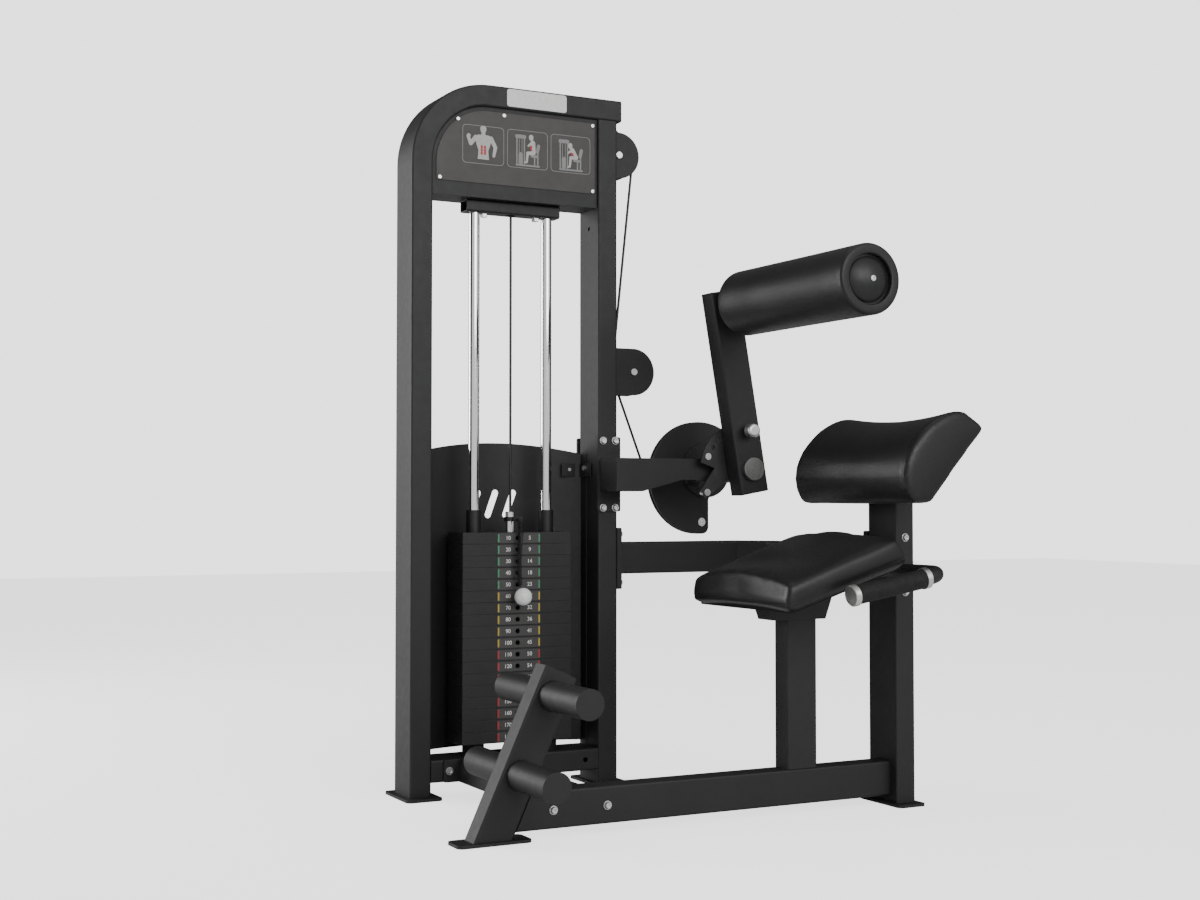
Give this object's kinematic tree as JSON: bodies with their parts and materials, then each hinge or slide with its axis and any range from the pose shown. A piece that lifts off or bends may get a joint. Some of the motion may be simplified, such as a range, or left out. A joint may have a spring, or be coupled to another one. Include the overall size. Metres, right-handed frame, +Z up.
{
  "type": "ab crunch machine",
  "caption": "Selectorized ab crunch machine with a weight stack tower, cable and cam, padded chest roller, tilted seat, back pad, side handles and foot bars",
  "frame": {"origin": "bottom centre of the machine's box, on the floor", "axes": "+Z up; +X from the foot bars towards the back pad, so the user faces -X; +Y towards the weight tower and its rear shroud"},
  "size_m": [1.136, 0.8769, 1.612],
  "materials": {
    "frame_paint": "matte charcoal powder coat",
    "stack_paint": "dark grey satin paint",
    "sign_paint": "warm dark grey satin paint",
    "chrome": "polished",
    "bright_steel": "zinc plated",
    "turned_steel": "turned, satin",
    "pad_vinyl": "black upholstery vinyl",
    "roller_foam": "black moulded foam",
    "grip_rubber": "black rubber",
    "black_plastic": "black moulded plastic",
    "white_plastic": "glossy white",
    "cable_jacket": "black jacket over steel strands",
    "backing_board": "plywood board covered in black backing cloth",
    "dark_steel": "blackened, satin"
  },
  "bodies": {
    "frame": {"tower_hoop": "frame_paint", "tower_right_post": "frame_paint", "tower_base_beam": "frame_paint", "foot_plates": "frame_paint", "link_beam": "frame_paint", "main_rail": "frame_paint", "foot_post": "frame_paint", "foot_bars": "frame_paint", "seat_post": "frame_paint", "seat_bracket": "frame_paint", "seat_board": "backing_board", "seat_pad": "pad_vinyl", "rear_post": "frame_paint", "back_board": "backing_board", "back_pad": "pad_vinyl", "seat_beam": "frame_paint", "handle_bar": "frame_paint", "handle_grips": "grip_rubber", "grip_rings": "bright_steel", "arm_support": "frame_paint", "support_back_plate": "frame_paint", "pivot_housing": "frame_paint", "pivot_bearings": "bright_steel", "rest_stop": "grip_rubber", "guide_rods": "chrome", "rod_top_bracket": "frame_paint", "stack_bumpers": "grip_rubber", "sign_frame": "frame_paint", "sign_panel": "sign_paint", "rear_shroud": "frame_paint", "pulley_brackets": "frame_paint", "pulley_axles": "bright_steel", "cable_guided": "cable_jacket", "resting_plates": "stack_paint", "frame_bolts": "bright_steel", "trim_screws": "bright_steel"},
    "cam": {"cam": "frame_paint", "pivot_shaft": "bright_steel", "sector_plate": "dark_steel", "cam_bolts": "bright_steel", "cable_on_cam": "cable_jacket"},
    "arm": {"lever_arm": "frame_paint", "pivot_cap": "turned_steel", "roller_axle": "frame_paint"},
    "pull_pin": {"pull_pin": "bright_steel"},
    "roller": {"roller_pad": "roller_foam", "roller_end_cap": "black_plastic", "roller_screw": "bright_steel"},
    "upper_pulley": {"upper_pulley": "black_plastic"},
    "lower_pulley": {"lower_pulley": "black_plastic"},
    "stack_pulley": {"stack_pulley": "black_plastic"},
    "cable_swing": {"cable_swing": "cable_jacket"},
    "carriage": {"top_plate": "stack_paint", "lifted_plates": "stack_paint", "selector_stem": "chrome", "carriage_sleeves": "black_plastic", "cable_stack": "cable_jacket", "tether": "black_plastic", "tether_clip": "black_plastic"},
    "selector": {"selector_pin": "white_plastic"}
  },
  "joints": [
    {"name": "crunch", "type": "hinge", "parent": "frame", "child": "cam", "pos_m": [0.317, 0.2685, 0.7365], "axis": [0, -1, 0], "range_deg": [0, 60]},
    {"name": "start_position", "type": "hinge", "parent": "cam", "child": "arm", "pos_m": [0.317, 0.1635, 0.7365], "axis": [0, -1, 0], "range_deg": [0, 46.2]},
    {"name": "pull_pin", "type": "slide", "parent": "arm", "child": "pull_pin", "axis": [0, -1, 0], "range_m": [0, 0.008]},
    {"name": "roller_spin", "type": "hinge", "parent": "arm", "child": "roller", "pos_m": [0.275, -0.1415, 1.119], "axis": [0, -1, 0], "continuous": true},
    {"name": "carriage_lift", "type": "slide", "parent": "frame", "child": "carriage", "axis": [0, 0, 1], "range_m": [0, 0.15], "deforming": ["cable_stack"]},
    {"name": "upper_pulley_spin", "type": "hinge", "parent": "frame", "child": "upper_pulley", "pos_m": [0.07, 0.3585, 1.489], "axis": [0, -1, 0], "continuous": true},
    {"name": "lower_pulley_spin", "type": "hinge", "parent": "frame", "child": "lower_pulley", "pos_m": [0.11, 0.3585, 0.9705], "axis": [0, -1, 0], "continuous": true},
    {"name": "stack_pulley_spin", "type": "hinge", "parent": "frame", "child": "stack_pulley", "pos_m": [-0.156, 0.3585, 1.489], "axis": [0, -1, 0], "continuous": true},
    {"name": "cable_swing", "type": "hinge", "parent": "frame", "child": "cable_swing", "pos_m": [0.11, 0.3585, 0.9705], "axis": [0, -1, 0], "range_deg": [0, 4]},
    {"name": "selector_slide", "type": "slide", "parent": "carriage", "child": "selector", "axis": [0, -1, 0], "range_m": [0, 0.07]}
  ],
  "couplings": [
    {"joint": "carriage_lift", "follows": "crunch", "m_per_rad": 0.14},
    {"joint": "upper_pulley_spin", "follows": "crunch", "ratio": -2.9167},
    {"joint": "lower_pulley_spin", "follows": "crunch", "ratio": 2.9167},
    {"joint": "stack_pulley_spin", "follows": "crunch", "ratio": -2.9167},
    {"joint": "cable_swing", "follows": "crunch", "ratio": 0.065}
  ]
}
